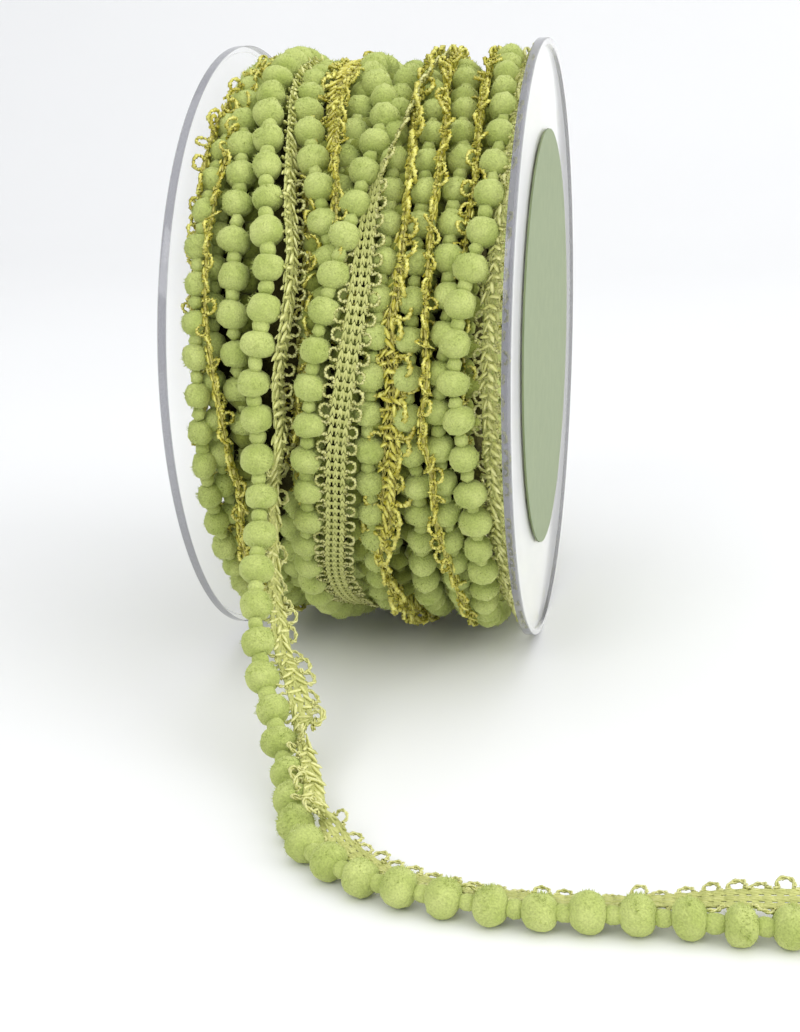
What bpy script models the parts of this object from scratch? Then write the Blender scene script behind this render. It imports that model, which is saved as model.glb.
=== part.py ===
"""Mini-pompom fringe trim wound on a clear spool, with one loose end lying on the surface.

Metres, +Z up. The spool's axis runs along X and its labelled flange is at +X. The pieces are placed
around the spot on the surface below the spool's middle, and the whole is then moved so that the
origin is below the middle of its box.
"""

import math

import bmesh
import bpy
from mathutils import Vector

MM = 0.001
GAP = 0.3 * MM  # what touching pieces keep between them

# The trim
POMPOM_R = 2.4 * MM
NECK_R = 1.1 * MM
POMPOM_PITCH = 5.7 * MM
TAPE_INNER = POMPOM_R + 0.4 * MM  # from the pompoms' line to the tape's near edge
TAPE_OUTER = 8.0 * MM  # from the pompoms' line to the tips of the tape's loops
TAPE_THICK = 1.0 * MM

# The spool
FLANGE_R = 51.0 * MM
FLANGE_WALL = 0.9 * MM
RIM_DEPTH = 1.5 * MM
RIM_WIDTH = 1.1 * MM
SPOOL_INSIDE = 50.0 * MM
FLAT_SPOT_CUT = 0.24 * MM
AXIS_HEIGHT = FLANGE_R - FLAT_SPOT_CUT
FLANGE_STEPS = 80
LABEL_R = 35.6 * MM
LABEL_THICK = 0.3 * MM
LABEL_RISE = 0.8 * MM
LABEL_STEPS = 56

# The winding
POMPOMS_PER_TURN = 52
STEPS_PER_POMPOM = 3  # two on the top of each pompom and one on the neck behind it
ANGLE_STEPS = STEPS_PER_POMPOM * POMPOMS_PER_TURN
SHOULDER = 1.6 * MM  # from a pompom's middle to the side of its bump
SHOULDER_DROP = 0.8 * MM
NECK_DROP = 1.3 * MM
VALLEY_DROP = 3.0 * MM
TAPE_DROP = 2.0 * MM
UNEVEN = 0.35 * MM

# Each outer turn's place along the axis, in mm from the spool's middle, at five angles down the front
# and at the back, the radius of its crest, and whether its tape lies flat on its right.
TURNS = (
    dict(top=-22.2, upper=-22.2, front=-22.3, lower=-22.2, under=-22.0, back=-21.8, crest=47.8, tape=False),
    dict(top=-18.4, upper=-17.6, front=-17.4, lower=-17.8, under=-17.5, back=-17.3, crest=48.6, tape=False),
    dict(top=-14.2, upper=-13.0, front=-12.6, lower=-13.4, under=-13.0, back=-12.6, crest=50.2, tape=False),
    dict(top=-8.6, upper=-7.4, front=-8.2, lower=-9.4, under=-8.4, back=-7.6, crest=47.4, tape=False),
    dict(top=-2.2, upper=2.0, front=-3.9, lower=-5.6, under=-3.4, back=-2.0, crest=49.4, tape=True),
    dict(top=3.6, upper=6.4, front=5.0, lower=1.8, under=2.6, back=3.6, crest=48.2, tape=False),
    dict(top=8.8, upper=11.2, front=10.4, lower=9.6, under=9.0, back=9.2, crest=48.6, tape=False),
    dict(top=13.6, upper=15.6, front=14.4, lower=14.6, under=14.2, back=14.4, crest=48.8, tape=False),
    dict(top=19.6, upper=20.6, front=18.4, lower=19.6, under=18.8, back=19.4, crest=49.6, tape=True),
)
LOOSE_TURN = 2  # the turn that the loose end belongs to
LIFT_OFF = (-4.0, -80.0)  # degrees: over this stretch the loose turn has left the winding
LIFT_OFF_CREST = 47.5

# The loose end: its pompoms' middles, in mm from the spot below the spool's middle, and the way from
# them across the tape to its looped edge.
LOOSE_END = (
    dict(x=-12.4, y=-48.6, z=43.6, across=(0.22, 0.97, -0.09)),
    dict(x=-12.1, y=-49.2, z=37.8, across=(0.23, 0.95, -0.22)),
    dict(x=-11.7, y=-51.6, z=31.4, across=(0.24, 0.87, -0.43)),
    dict(x=-11.2, y=-55.6, z=25.4, across=(0.34, 0.78, -0.53)),
    dict(x=-10.4, y=-60.0, z=20.0, across=(0.62, 0.67, -0.41)),
    dict(x=-8.8, y=-64.0, z=15.2, across=(0.68, 0.66, -0.32)),
    dict(x=-6.6, y=-68.2, z=11.2, across=(0.87, 0.49, -0.03)),
    dict(x=-4.2, y=-72.6, z=7.9, across=(0.80, 0.56, -0.21)),
    dict(x=-1.9, y=-77.2, z=5.2, across=(0.83, 0.51, -0.20)),
    dict(x=0.4, y=-82.2, z=3.4, across=(0.82, 0.55, -0.05)),
    dict(x=2.2, y=-87.4, z=2.6, across=(0.76, 0.64, 0.08)),
    dict(x=4.2, y=-92.4, z=2.4, across=(0.62, 0.78, 0.06)),
    dict(x=7.4, y=-97.0, z=2.4, across=(0.50, 0.86, -0.06)),
    dict(x=15.1, y=-102.4, z=2.4, across=(0.38, 0.90, -0.20)),
    dict(x=27.2, y=-105.6, z=2.4, across=(0.17, 0.96, -0.22)),
    dict(x=38.0, y=-106.4, z=2.4, across=(0.00, 0.98, -0.20)),
    dict(x=49.0, y=-105.7, z=2.4, across=(-0.03, 0.99, -0.12)),
    dict(x=60.0, y=-105.8, z=2.4, across=(-0.04, 0.97, 0.22)),
    dict(x=71.0, y=-104.9, z=2.4, across=(-0.10, 0.95, 0.28)),
    dict(x=81.0, y=-103.4, z=2.4, across=(-0.14, 0.98, 0.14)),
)
POMPOM_STRIPS = 4
CHAIN_SIDES = 8
RINGS_PER_POMPOM = 6
TAPE_STEP = 2.6 * MM
TAPE_COMES_OUT = 16.0 * MM  # down the loose end; above this the tape is tucked into the winding


def material(name, colour, roughness, alpha=1.0):
    made = bpy.data.materials.new(name)
    made.use_nodes = True
    shader = made.node_tree.nodes["Principled BSDF"]
    shader.inputs["Base Color"].default_value = (*colour, 1.0)
    shader.inputs["Roughness"].default_value = roughness
    shader.inputs["Metallic"].default_value = 0.0
    shader.inputs["Alpha"].default_value = alpha
    return made


def new_object(name, verts, faces, finish, parent, smooth=True):
    """An object of the given points and faces, its normals turned out."""
    mesh = bpy.data.meshes.new(name)
    mesh.from_pydata([tuple(point) for point in verts], [], faces)
    shape = bmesh.new()
    shape.from_mesh(mesh)
    bmesh.ops.recalc_face_normals(shape, faces=shape.faces)
    bmesh.ops.triangulate(shape, faces=[face for face in shape.faces if len(face.verts) > 4])
    shape.to_mesh(mesh)
    shape.free()
    mesh.materials.append(finish)
    if smooth:
        mesh.shade_smooth()
        mesh.set_sharp_from_angle(angle=math.radians(50))
    made = bpy.data.objects.new(name, mesh)
    bpy.context.scene.collection.objects.link(made)
    made.parent = parent
    return made


def tube(rings):
    """Points and faces of a closed skin over rings of the same number of points."""
    verts = [point for ring in rings for point in ring]
    count = len(rings[0])
    faces = []
    for row in range(len(rings) - 1):
        for i in range(count):
            j = (i + 1) % count
            a, b = row * count, (row + 1) * count
            faces.append((a + i, a + j, b + j, b + i))
    faces.append(tuple(range(count)))
    last = (len(rings) - 1) * count
    faces.append(tuple(last + i for i in reversed(range(count))))
    return verts, faces


def between(before, start, end, after, share):
    """Catmull-Rom value between start and end."""
    bend = 2 * before - 5 * start + 4 * end - after
    twist = 3 * (start - end) + after - before
    return start + 0.5 * share * (end - before + share * (bend + share * twist))


def turned_disc(profile, steps):
    """Rings of a disc turned about the spool's axis, flat where it would dip below the surface."""
    rings = []
    for x, radius, rise in profile:
        ring = []
        for i in range(steps):
            angle = math.tau * i / steps
            z = AXIS_HEIGHT + rise - radius * math.cos(angle)
            ring.append(Vector((x, radius * math.sin(angle), max(z, 0.0))))
        rings.append(ring)
    return rings


def flange(name, side, finish, parent):
    """A clear round plate with a rim that stands proud of its outer face."""
    inner = side * SPOOL_INSIDE / 2
    wall = inner + side * FLANGE_WALL
    rim = inner + side * RIM_DEPTH
    inside_rim = FLANGE_R - RIM_WIDTH
    profile = (
        (inner, inside_rim, 0.0),
        (inner, FLANGE_R, 0.0),
        (rim, FLANGE_R, 0.0),
        (rim, inside_rim, 0.0),
        (wall, inside_rim, 0.0),
    )
    verts, faces = tube(turned_disc(profile, FLANGE_STEPS))
    return new_object(name, verts, faces, finish, parent)


def label(name, finish, parent):
    """The round label in the recess of the right flange."""
    start = SPOOL_INSIDE / 2 + FLANGE_WALL + GAP
    profile = ((start, LABEL_R, LABEL_RISE), (start + LABEL_THICK, LABEL_R, LABEL_RISE))
    verts, faces = tube(turned_disc(profile, LABEL_STEPS))
    return new_object(name, verts, faces, finish, parent)


def turn_place(turn, angle):
    """Where a turn lies along the axis at an angle above the front, in degrees."""
    knots = [turn["front"], turn["upper"], turn["top"], turn["back"], turn["back"], turn["back"]]
    knots += [turn["under"], turn["lower"]]
    place = (angle % 360.0) / 45.0
    k = int(place)
    picked = [knots[(k + i) % len(knots)] for i in (-1, 0, 1, 2)]
    return MM * between(*picked, place - k)


def turn_crest(index, angle):
    """The radius of a turn's crest, a little uneven, and low where the loose end has left."""
    crest = TURNS[index]["crest"] * MM
    signed = (angle + 180.0) % 360.0 - 180.0
    if index == LOOSE_TURN and LIFT_OFF[1] < signed < LIFT_OFF[0]:
        return LIFT_OFF_CREST * MM
    slow = math.sin(math.radians(2 * angle) + 1.7 * index)
    quick = math.sin(math.radians(7 * angle) + 2.9 * index)
    return crest + UNEVEN * (0.6 * slow + 0.4 * quick)


def winding_columns(step):
    """(place along the axis, radius) across the winding at one step round it, left to right."""
    angle = 360.0 * step / ANGLE_STEPS
    half = SPOOL_INSIDE / 2 - GAP
    columns = [(-half, turn_crest(0, angle) - VALLEY_DROP)]
    for index, turn in enumerate(TURNS):
        place = turn_place(turn, angle)
        crest = turn_crest(index, angle)
        on_neck = (step + index) % STEPS_PER_POMPOM == 0
        top = crest - (NECK_DROP if on_neck else 0.0)
        side = crest - (VALLEY_DROP if on_neck else SHOULDER_DROP)
        columns += [(place - SHOULDER, side), (place, top), (place + SHOULDER, side)]
        if index + 1 == len(TURNS):
            break
        after = turn_place(TURNS[index + 1], angle)
        level = min(crest, turn_crest(index + 1, angle)) - VALLEY_DROP
        if turn["tape"]:
            level = crest - TAPE_DROP
        columns.append(((place + after) / 2, level))
    columns.append((half, turn_crest(len(TURNS) - 1, angle) - TAPE_DROP))
    return columns


def wound_trim(name, finish, parent):
    """All the turns on the spool as one solid, with the outer turns' pompoms raised."""
    around = [winding_columns(step) for step in range(ANGLE_STEPS)]
    rings = []
    for column in range(len(around[0])):
        ring = []
        for step in range(ANGLE_STEPS):
            angle = math.tau * step / ANGLE_STEPS
            x, radius = around[step][column]
            ring.append(Vector((x, -radius * math.cos(angle), AXIS_HEIGHT + radius * math.sin(angle))))
        rings.append(ring)
    verts, faces = tube(rings)
    return new_object(name, verts, faces, finish, parent, smooth=False)


def loose_route(step):
    """The loose end's route every step: point, way along, way across the tape, and length so far."""
    count = len(LOOSE_END)
    points = [Vector((row["x"], row["y"], row["z"])) * MM for row in LOOSE_END]
    across = [Vector(row["across"]).normalized() for row in LOOSE_END]

    def smooth(values, k, share):
        picked = [values[min(max(k + i, 0), count - 1)] for i in (-1, 0, 1, 2)]
        return between(*picked, share)

    fine = 40
    dense = [(k, i / fine) for k in range(count - 1) for i in range(fine)] + [(count - 2, 1.0)]
    places = [smooth(points, k, share) for k, share in dense]
    for place in places:
        place.z = max(place.z, POMPOM_R)
    lengths = [0.0]
    for a, b in zip(places, places[1:]):
        lengths.append(lengths[-1] + (b - a).length)
    stations = []
    total = round(lengths[-1] / step)
    at = 0
    for n in range(total + 1):
        wanted = lengths[-1] * n / total
        while at < len(lengths) - 2 and lengths[at + 1] < wanted:
            at += 1
        k, share = dense[at]
        along = (places[min(at + 1, len(places) - 1)] - places[max(at - 1, 0)]).normalized()
        stations.append((places[at], along, smooth(across, k, share).normalized(), wanted))
    return stations


def pompom_radius(length):
    """The chain's radius at a length along it: pompoms joined by short necks."""
    off = (length / POMPOM_PITCH) % 1.0 - 0.5
    away = off * POMPOM_PITCH
    return max(NECK_R, math.sqrt(max(POMPOM_R**2 - away**2, 0.0)))


def pompom_strip(name, stations, finish, parent):
    """A length of the pompom chain, upright rings swept along its route."""
    rings = []
    for point, along, _, length in stations:
        side = along.cross(Vector((0, 0, 1))).normalized()
        up = side.cross(along).normalized()
        radius = pompom_radius(length)
        ring = []
        for i in range(CHAIN_SIDES):
            angle = math.tau * i / CHAIN_SIDES
            ring.append(point + radius * (math.sin(angle) * side - math.cos(angle) * up))
        rings.append(ring)
    verts, faces = tube(rings)
    return new_object(name, verts, faces, finish, parent)


def pompom_strips(finish, parent):
    """The loose end's chain in a few lengths, parted at the necks."""
    step = POMPOM_PITCH / RINGS_PER_POMPOM
    stations = loose_route(step)
    pompoms = int(stations[-1][3] / POMPOM_PITCH)
    for strip in range(POMPOM_STRIPS):
        first = pompoms * strip // POMPOM_STRIPS
        last = pompoms * (strip + 1) // POMPOM_STRIPS
        start = first * POMPOM_PITCH + GAP / 2
        end = last * POMPOM_PITCH - GAP / 2
        inside = [row for row in stations if start < row[3] < end]
        ends = (nearest(stations, start), nearest(stations, end))
        pompom_strip(f"loose_pompoms_{strip + 1}", [ends[0]] + inside + [ends[1]], finish, parent)


def nearest(stations, length):
    """The route at an exact length, on the straight line between its two nearest stations."""
    for a, b in zip(stations, stations[1:]):
        if length <= b[3]:
            share = (length - a[3]) / (b[3] - a[3])
            return (a[0].lerp(b[0], share), a[1].lerp(b[1], share), a[2].lerp(b[2], share), length)
    return stations[-1]


def loose_tape(name, finish, parent):
    """The loose end's woven tape with its looped edge, as a thin bent strip."""
    rings = []
    for point, along, across, length in loose_route(TAPE_STEP):
        if length < TAPE_COMES_OUT:
            continue
        clear = (across - across.dot(along) * along).length
        inner = point + across * (TAPE_INNER / clear)
        outer = point + across * TAPE_OUTER
        face = along.cross(across).normalized() * (TAPE_THICK / 2)
        rings.append([inner - face, outer - face, outer + face, inner + face])
    for ring in rings:
        lowest = min(corner.z for corner in ring)
        if lowest < 0:
            for corner in ring:
                corner.z -= lowest
    verts, faces = tube(rings)
    return new_object(name, verts, faces, finish, parent)


def centre_on_origin(holder):
    """Moves the holder so that the whole stands on z = 0 with its box centred on the origin."""
    corners = [vertex.co for child in holder.children for vertex in child.data.vertices]
    low = Vector([min(corner[axis] for corner in corners) for axis in range(3)])
    high = Vector([max(corner[axis] for corner in corners) for axis in range(3)])
    holder.location = (-(low.x + high.x) / 2, -(low.y + high.y) / 2, -low.z)


def main():
    for old in list(bpy.data.objects):
        bpy.data.objects.remove(old, do_unlink=True)
    holder = bpy.data.objects.new("trim_on_spool", None)
    bpy.context.scene.collection.objects.link(holder)
    chenille = material("chenille", (0.45, 0.56, 0.22), 0.95)
    braid = material("braid", (0.52, 0.54, 0.20), 0.5)
    clear = material("clear_plastic", (0.92, 0.93, 0.95), 0.05, alpha=0.3)
    card = material("label_card", (0.38, 0.47, 0.28), 0.7)
    wound_trim("wound_trim", chenille, holder)
    pompom_strips(chenille, holder)
    loose_tape("loose_tape", braid, holder)
    flange("flange_left", -1, clear, holder)
    flange("flange_right", 1, clear, holder)
    label("label_disc", card, holder)
    centre_on_origin(holder)


main()
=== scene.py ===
# %% [markdown]
# # A pompom fringe trim on its spool
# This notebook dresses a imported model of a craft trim: a chain of mini pompoms with a woven,
# loop-edged tape, wound on a clear spool with one end run out over the table. The solids that we
# load give every size and place. What is missing is all the fine work: the velvet of each pompom,
# the stitches of the tape, its shiny loops and the clear plastic. We build these as real shapes,
# because a trim like this is nothing but small repeated shapes, and no picture of it would hold up
# from close by or from the side.

# %% Load the solids
import math

import bmesh
import bpy
import numpy as np
from mathutils import Matrix, Vector


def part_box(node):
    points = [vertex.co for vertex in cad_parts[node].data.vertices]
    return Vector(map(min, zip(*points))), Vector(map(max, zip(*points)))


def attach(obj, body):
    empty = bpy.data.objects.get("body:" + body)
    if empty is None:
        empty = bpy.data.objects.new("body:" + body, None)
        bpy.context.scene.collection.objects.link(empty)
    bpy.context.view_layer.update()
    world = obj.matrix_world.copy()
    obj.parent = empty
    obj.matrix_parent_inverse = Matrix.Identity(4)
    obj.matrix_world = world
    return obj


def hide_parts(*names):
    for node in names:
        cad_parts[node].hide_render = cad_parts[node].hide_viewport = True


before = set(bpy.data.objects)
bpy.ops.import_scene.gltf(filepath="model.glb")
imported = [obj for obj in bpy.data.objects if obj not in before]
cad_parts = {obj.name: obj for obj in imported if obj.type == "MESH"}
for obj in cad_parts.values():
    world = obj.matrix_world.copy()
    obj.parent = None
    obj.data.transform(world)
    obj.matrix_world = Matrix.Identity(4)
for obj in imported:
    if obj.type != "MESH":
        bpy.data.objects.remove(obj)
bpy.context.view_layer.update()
MM = 0.001
print("solids:", ", ".join(sorted(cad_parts)))

# %% [markdown]
# ## Where the spool stands
# The spool is the thing that everything else is measured from. Its two flanges are turned discs, so
# their boxes tell us the middle of the spool, the height of its axis and how wide it is inside.
# From here on a place is given in millimetres from the spot on the table below the spool's middle,
# with X along the axis towards the labelled side.

# %% Measure the spool
left_low, left_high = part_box("flange_left")
right_low, right_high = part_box("flange_right")
SPOOL_SPOT = np.array([(left_low.x + right_high.x) / 2, (left_low.y + left_high.y) / 2, 0.0]) / MM
FLANGE_R = (left_high.y - left_low.y) / 2 / MM
AXIS_HEIGHT = left_high.z / MM - FLANGE_R
HALF_INSIDE = (right_low.x - left_high.x) / 2 / MM
RIM_DEPTH = (right_high.x - right_low.x) / MM
print(f"flanges {2 * FLANGE_R:.1f} mm across, {2 * HALF_INSIDE:.1f} mm apart, axis at {AXIS_HEIGHT:.2f} mm")

# %% [markdown]
# ## The camera
# The photograph was taken from a little above the trim and to the right of the spool, so that the
# labelled flange is seen almost edge-on. A camera is fixed by where it stands, by three angles and
# by its lens. We turn the angles into the three directions that a camera object needs: right, up
# and backwards. The lens is given by the picture's height, which is its long side.

# %% Place the camera
FRAME_HEIGHT_PX = 1032
FOCAL_PX = 1505.0
SENSOR_MM = 36.0
CAMERA_SPOT = (53.3, -261.1, 94.8)
CAMERA_YAW = math.radians(11.66)
CAMERA_PITCH = math.radians(16.0)
CAMERA_ROLL = math.radians(-1.29)


def in_row_frame(place):
    """A place in millimetres from the spool's spot, as a point in metres in the model's frame."""
    return Vector((np.asarray(place) + SPOOL_SPOT) * MM)


def aimed(yaw, pitch, roll):
    """A camera's turn: yaw to the left of +Y, pitch down, and roll about the way it looks."""
    look = Vector((-math.sin(yaw) * math.cos(pitch), math.cos(yaw) * math.cos(pitch), -math.sin(pitch)))
    level = Vector((math.cos(yaw), math.sin(yaw), 0.0))
    upright = level.cross(look)
    right = math.cos(roll) * level + math.sin(roll) * upright
    up = math.cos(roll) * upright - math.sin(roll) * level
    return Matrix((right, up, -look)).transposed()


camera_data = bpy.data.cameras.new("photo_camera")
camera_data.sensor_width = SENSOR_MM
camera_data.lens = SENSOR_MM * FOCAL_PX / FRAME_HEIGHT_PX
camera_data.clip_start = 0.01
camera = bpy.data.objects.new("photo_camera", camera_data)
camera.matrix_world = Matrix.Translation(in_row_frame(CAMERA_SPOT)) @ aimed(
    CAMERA_YAW, CAMERA_PITCH, CAMERA_ROLL
).to_4x4()
bpy.context.scene.collection.objects.link(camera)
bpy.context.scene.camera = camera
print(f"lens {camera_data.lens:.1f} mm")

# %% [markdown]
# ## The table and the light
# The trim was photographed on white paper that runs up behind it, in soft light. The paper is one
# strip that lies flat and then curves up, so that no horizon shows. The light is a pale sky with a
# very broad lamp above and one to the right, so that the only shadow is the one right under the
# spool. A smaller lamp beside the camera makes the small pompoms look round and gives the shiny
# loops something to mirror.


# %% Lay the paper
def finish_nodes(name):
    """A new material with its node tree and its Principled shader."""
    made = bpy.data.materials.new(name)
    made.use_nodes = True
    return made, made.node_tree, made.node_tree.nodes["Principled BSDF"]


def add_node(tree, kind, **values):
    """A node of the tree with some of its input sockets set."""
    node = tree.nodes.new(kind)
    for socket, value in values.items():
        node.inputs[socket.replace("_", " ")].default_value = value
    return node


def paper_finish():
    made, tree, shader = finish_nodes("white_paper")
    place = add_node(tree, "ShaderNodeNewGeometry")
    grain = add_node(tree, "ShaderNodeTexNoise", Scale=6.0, Detail=2.0)
    tint = add_node(tree, "ShaderNodeMapRange", To_Min=0.85, To_Max=0.88)
    tree.links.new(place.outputs["Position"], grain.inputs["Vector"])
    tree.links.new(grain.outputs["Fac"], tint.inputs["Value"])
    mix = add_node(tree, "ShaderNodeCombineColor")
    for channel in ("Red", "Green", "Blue"):
        tree.links.new(tint.outputs["Result"], mix.inputs[channel])
    tree.links.new(mix.outputs["Color"], shader.inputs["Base Color"])
    shader.inputs["Roughness"].default_value = 0.6
    return made


PAPER_HALF_WIDTH = 1.6
PAPER_FRONT = -1.2
PAPER_BEND_AT = 0.55
PAPER_BEND_R = 0.5
PAPER_BEND_STEPS = 12
PAPER_TOP = 1.6
profile = [(PAPER_FRONT, 0.0)]
for step in range(PAPER_BEND_STEPS + 1):
    turn = math.radians(90 * step / PAPER_BEND_STEPS)
    profile.append(
        (PAPER_BEND_AT + PAPER_BEND_R * math.sin(turn), PAPER_BEND_R * (1 - math.cos(turn)))
    )
profile.append((PAPER_BEND_AT + PAPER_BEND_R, PAPER_TOP))
paper_points = [(x, y, z) for y, z in profile for x in (-PAPER_HALF_WIDTH, PAPER_HALF_WIDTH)]
paper_faces = [(2 * i, 2 * i + 1, 2 * i + 3, 2 * i + 2) for i in range(len(profile) - 1)]
paper_mesh = bpy.data.meshes.new("paper")
paper_mesh.from_pydata(paper_points, [], paper_faces)
paper_mesh.shade_smooth()
paper_mesh.materials.append(paper_finish())
paper = bpy.data.objects.new("paper", paper_mesh)
bpy.context.scene.collection.objects.link(paper)


# %% Hang the lamps
def soft_lamp(name, place, aim, size, watts):
    """A square lamp at a place in metres that faces another."""
    data = bpy.data.lights.new(name, "AREA")
    data.shape = "SQUARE"
    data.size = size
    data.energy = watts
    lamp = bpy.data.objects.new(name, data)
    lamp.location = place
    lamp.rotation_euler = (Vector(aim) - Vector(place)).to_track_quat("-Z", "Y").to_euler()
    bpy.context.scene.collection.objects.link(lamp)


TRIM_MIDDLE = (0.0, 0.0, 0.05)
SKY_COLOUR = (0.95, 0.97, 1.0, 1.0)
SKY_STRENGTH = 0.66
soft_lamp("overhead_lamp", place=(0.05, -0.2, 1.15), aim=TRIM_MIDDLE, size=1.8, watts=8.0)
soft_lamp("front_lamp", place=(-0.4, -0.9, 0.75), aim=TRIM_MIDDLE, size=0.5, watts=2.6)
soft_lamp("right_lamp", place=(0.95, -0.25, 0.5), aim=TRIM_MIDDLE, size=0.9, watts=6.0)
sky = bpy.data.worlds.new("pale_sky")
sky.use_nodes = True
background = sky.node_tree.nodes["Background"]
background.inputs["Color"].default_value = SKY_COLOUR
background.inputs["Strength"].default_value = SKY_STRENGTH
bpy.context.scene.world = sky
bpy.context.scene.view_settings.view_transform = "Standard"

# %% [markdown]
# ## Many small things as one mesh
# A turn of this trim has about fifty pompoms, two hundred loops and well over a thousand stitches.
# One object for each would choke any scene. Instead one small template shape is written once, as
# arrays of points and faces, and copied by array arithmetic: every copy is the template's points
# turned and scaled by a frame of three directions. All copies of a kind then make one mesh.


# %% Copy a template along frames
def joined_mesh(name, points, faces, finish, smooth=True):
    """An object in metres from arrays of points in millimetres and of equal-sided faces."""
    mesh = bpy.data.meshes.new(name)
    mesh.vertices.add(len(points))
    mesh.vertices.foreach_set("co", ((points + SPOOL_SPOT) * MM).astype(np.float32).ravel())
    mesh.loops.add(faces.size)
    mesh.loops.foreach_set("vertex_index", faces.astype(np.int32).ravel())
    mesh.polygons.add(len(faces))
    mesh.polygons.foreach_set("loop_start", np.arange(0, faces.size, faces.shape[1], dtype=np.int32))
    mesh.polygons.foreach_set("use_smooth", np.full(len(faces), smooth))
    mesh.materials.append(finish)
    mesh.update(calc_edges=True)
    made = bpy.data.objects.new(name, mesh)
    bpy.context.scene.collection.objects.link(made)
    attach(made, "root")
    return made


def copies(template, faces, spots, frames):
    """Points and faces of the template at each spot. frames holds three row vectors a copy."""
    shape = template if template.ndim == 3 else np.broadcast_to(template, (len(spots), *template.shape))
    points = np.einsum("nvi,nij->nvj", shape, frames) + spots[:, None, :]
    shift = np.arange(len(spots))[:, None, None] * shape.shape[1]
    return points.reshape(-1, 3), (faces[None] + shift).reshape(-1, faces.shape[1])


def together(parts):
    """Several (points, faces) as one."""
    points, faces, count = [], [], 0
    for some_points, some_faces in parts:
        points.append(some_points)
        faces.append(some_faces + count)
        count += len(some_points)
    return np.concatenate(points), np.concatenate(faces)


def unit(vectors):
    return vectors / np.linalg.norm(vectors, axis=-1, keepdims=True)


# %% [markdown]
# ## A run of trim
# Whether it is wound or loose, the trim follows a line in space with a way across it: pompoms on
# the line, tape to one side. We call that a run, and keep it as arrays: the line's points, the way
# along, the way across towards the tape, the way out of its face, and the length so far. A wound
# turn's line goes round the drum and drifts sideways. Its drift is read off the photograph as a
# few places (angle above the front: millimetres from the middle) and drawn as a smooth curve
# through them. The same curve serves radii and leans. A run that ends where it began is closed,
# and a length past its end then goes round again.


# %% Draw a smooth curve through a few knots round the drum
def round_curve(knots, angles):
    """Values at the angles of a smooth closed curve through {angle: value}, all in degrees."""
    at = np.array(sorted(knots), float)
    value = np.array([knots[key] for key in sorted(knots)], float)
    if len(at) == 1:
        return np.full(len(angles), value[0])
    at = np.concatenate([at[-2:] - 360, at, at[:2] + 360])
    value = np.concatenate([value[-2:], value, value[:2]])
    slope = np.gradient(value, at)
    wanted = (np.asarray(angles) - at[2]) % 360 + at[2]
    k = np.clip(np.searchsorted(at, wanted, side="right") - 1, 0, len(at) - 2)
    gap = at[k + 1] - at[k]
    t = (wanted - at[k]) / gap
    start = value[k] * (1 + 2 * t) * (1 - t) ** 2 + value[k + 1] * t**2 * (3 - 2 * t)
    return start + gap * (slope[k] * t * (1 - t) ** 2 + slope[k + 1] * t**2 * (t - 1))


def run_from(points, across):
    """A run through points, with the way across given at each."""
    along = unit(np.gradient(points, axis=0))
    across = unit(across - (across * along).sum(1, keepdims=True) * along)
    steps = np.linalg.norm(np.diff(points, axis=0), axis=1)
    lengths = np.concatenate([[0.0], np.cumsum(steps)])
    out = np.cross(across, -along)
    closed = bool(np.allclose(points[0], points[-1]))
    return dict(points=points, along=along, across=across, out=out, lengths=lengths, closed=closed)


def round_axis(x, radius, turn):
    """Points at places x along the spool's axis, at a radius from it and an angle above the front."""
    x = np.broadcast_to(x, turn.shape)
    return np.stack([x, -radius * np.cos(turn), AXIS_HEIGHT + radius * np.sin(turn)], 1)


def drum_run(places, radii, angles):
    """A run round the drum, at the angles in turn, from {angle: mm} tables."""
    points = round_axis(round_curve(places, angles), round_curve(radii, angles), np.radians(angles))
    return run_from(points, np.tile([1.0, 0.0, 0.0], (len(angles), 1)))


def beside(run, shift, rise, lean):
    """The run moved across and out, in mm, and leant: 0 lies flat, 90 stands its far edge outwards."""
    shift, rise, lean = (np.broadcast_to(v, len(run["points"]))[:, None] for v in (shift, rise, lean))
    points = run["points"] + shift * run["across"] + rise * run["out"]
    across = np.cos(np.radians(lean)) * run["across"] + np.sin(np.radians(lean)) * run["out"]
    return run_from(points, across)


def stations(run, lengths):
    """(spots, frames) of the run at the given lengths. A frame's rows are along, across and out."""
    if run["closed"]:
        lengths = lengths % run["lengths"][-1]

    def read(key):
        return np.stack([np.interp(lengths, run["lengths"], run[key][:, axis]) for axis in range(3)], 1)

    frames = np.stack([unit(read("along")), unit(read("across")), unit(read("out"))], 1)
    return read("points"), frames


def tape_lengths(run, pitch):
    """Even steps along a run, ends left out."""
    count = int(run["lengths"][-1] / pitch)
    return (np.arange(count) + 0.5) * run["lengths"][-1] / count


# %% [markdown]
# ## The pompom chain
# The chain is cut from one thick chenille yarn that is bound at even steps: the free stretches
# bush out into pompoms and the bound ones stay as small beads. So a pompom is a ball that is a
# little short along the yarn, no two alike, with a soft uneven skin. Each copy of the template
# ball gets its own slow bulges and fine unevenness, and a turn of its own. The pile's tips are
# short spikes that break up the ball's outline, which is where the eye looks for softness.

# %% Make the template ball, bead and spike
POMPOM_PITCH = 5.7
POMPOM_HALF_LENGTH = 2.08
POMPOM_HALF_WIDTH = 2.45
POMPOM_SQUARENESS = 2.5
OUT_OF_LINE = 0.12
SIZE_SPREAD = 0.04
SMALLEST, LARGEST = 0.9, 1.08
TIPPED = 0.12
SKIN = 0.016
BEAD_HALF_LENGTH = 1.3
BEAD_HALF_WIDTH = 1.2
BEAD_SIZE_SPREAD = 0.07
BEAD_TIPPED = 0.15
BEAD_BULGE = 0.03
BEAD_SKIN = 0.012
BULGES = ((2.0, 0.9), (3.6, 0.8), (6.0, 0.45))
draw = np.random.default_rng(7)


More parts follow.
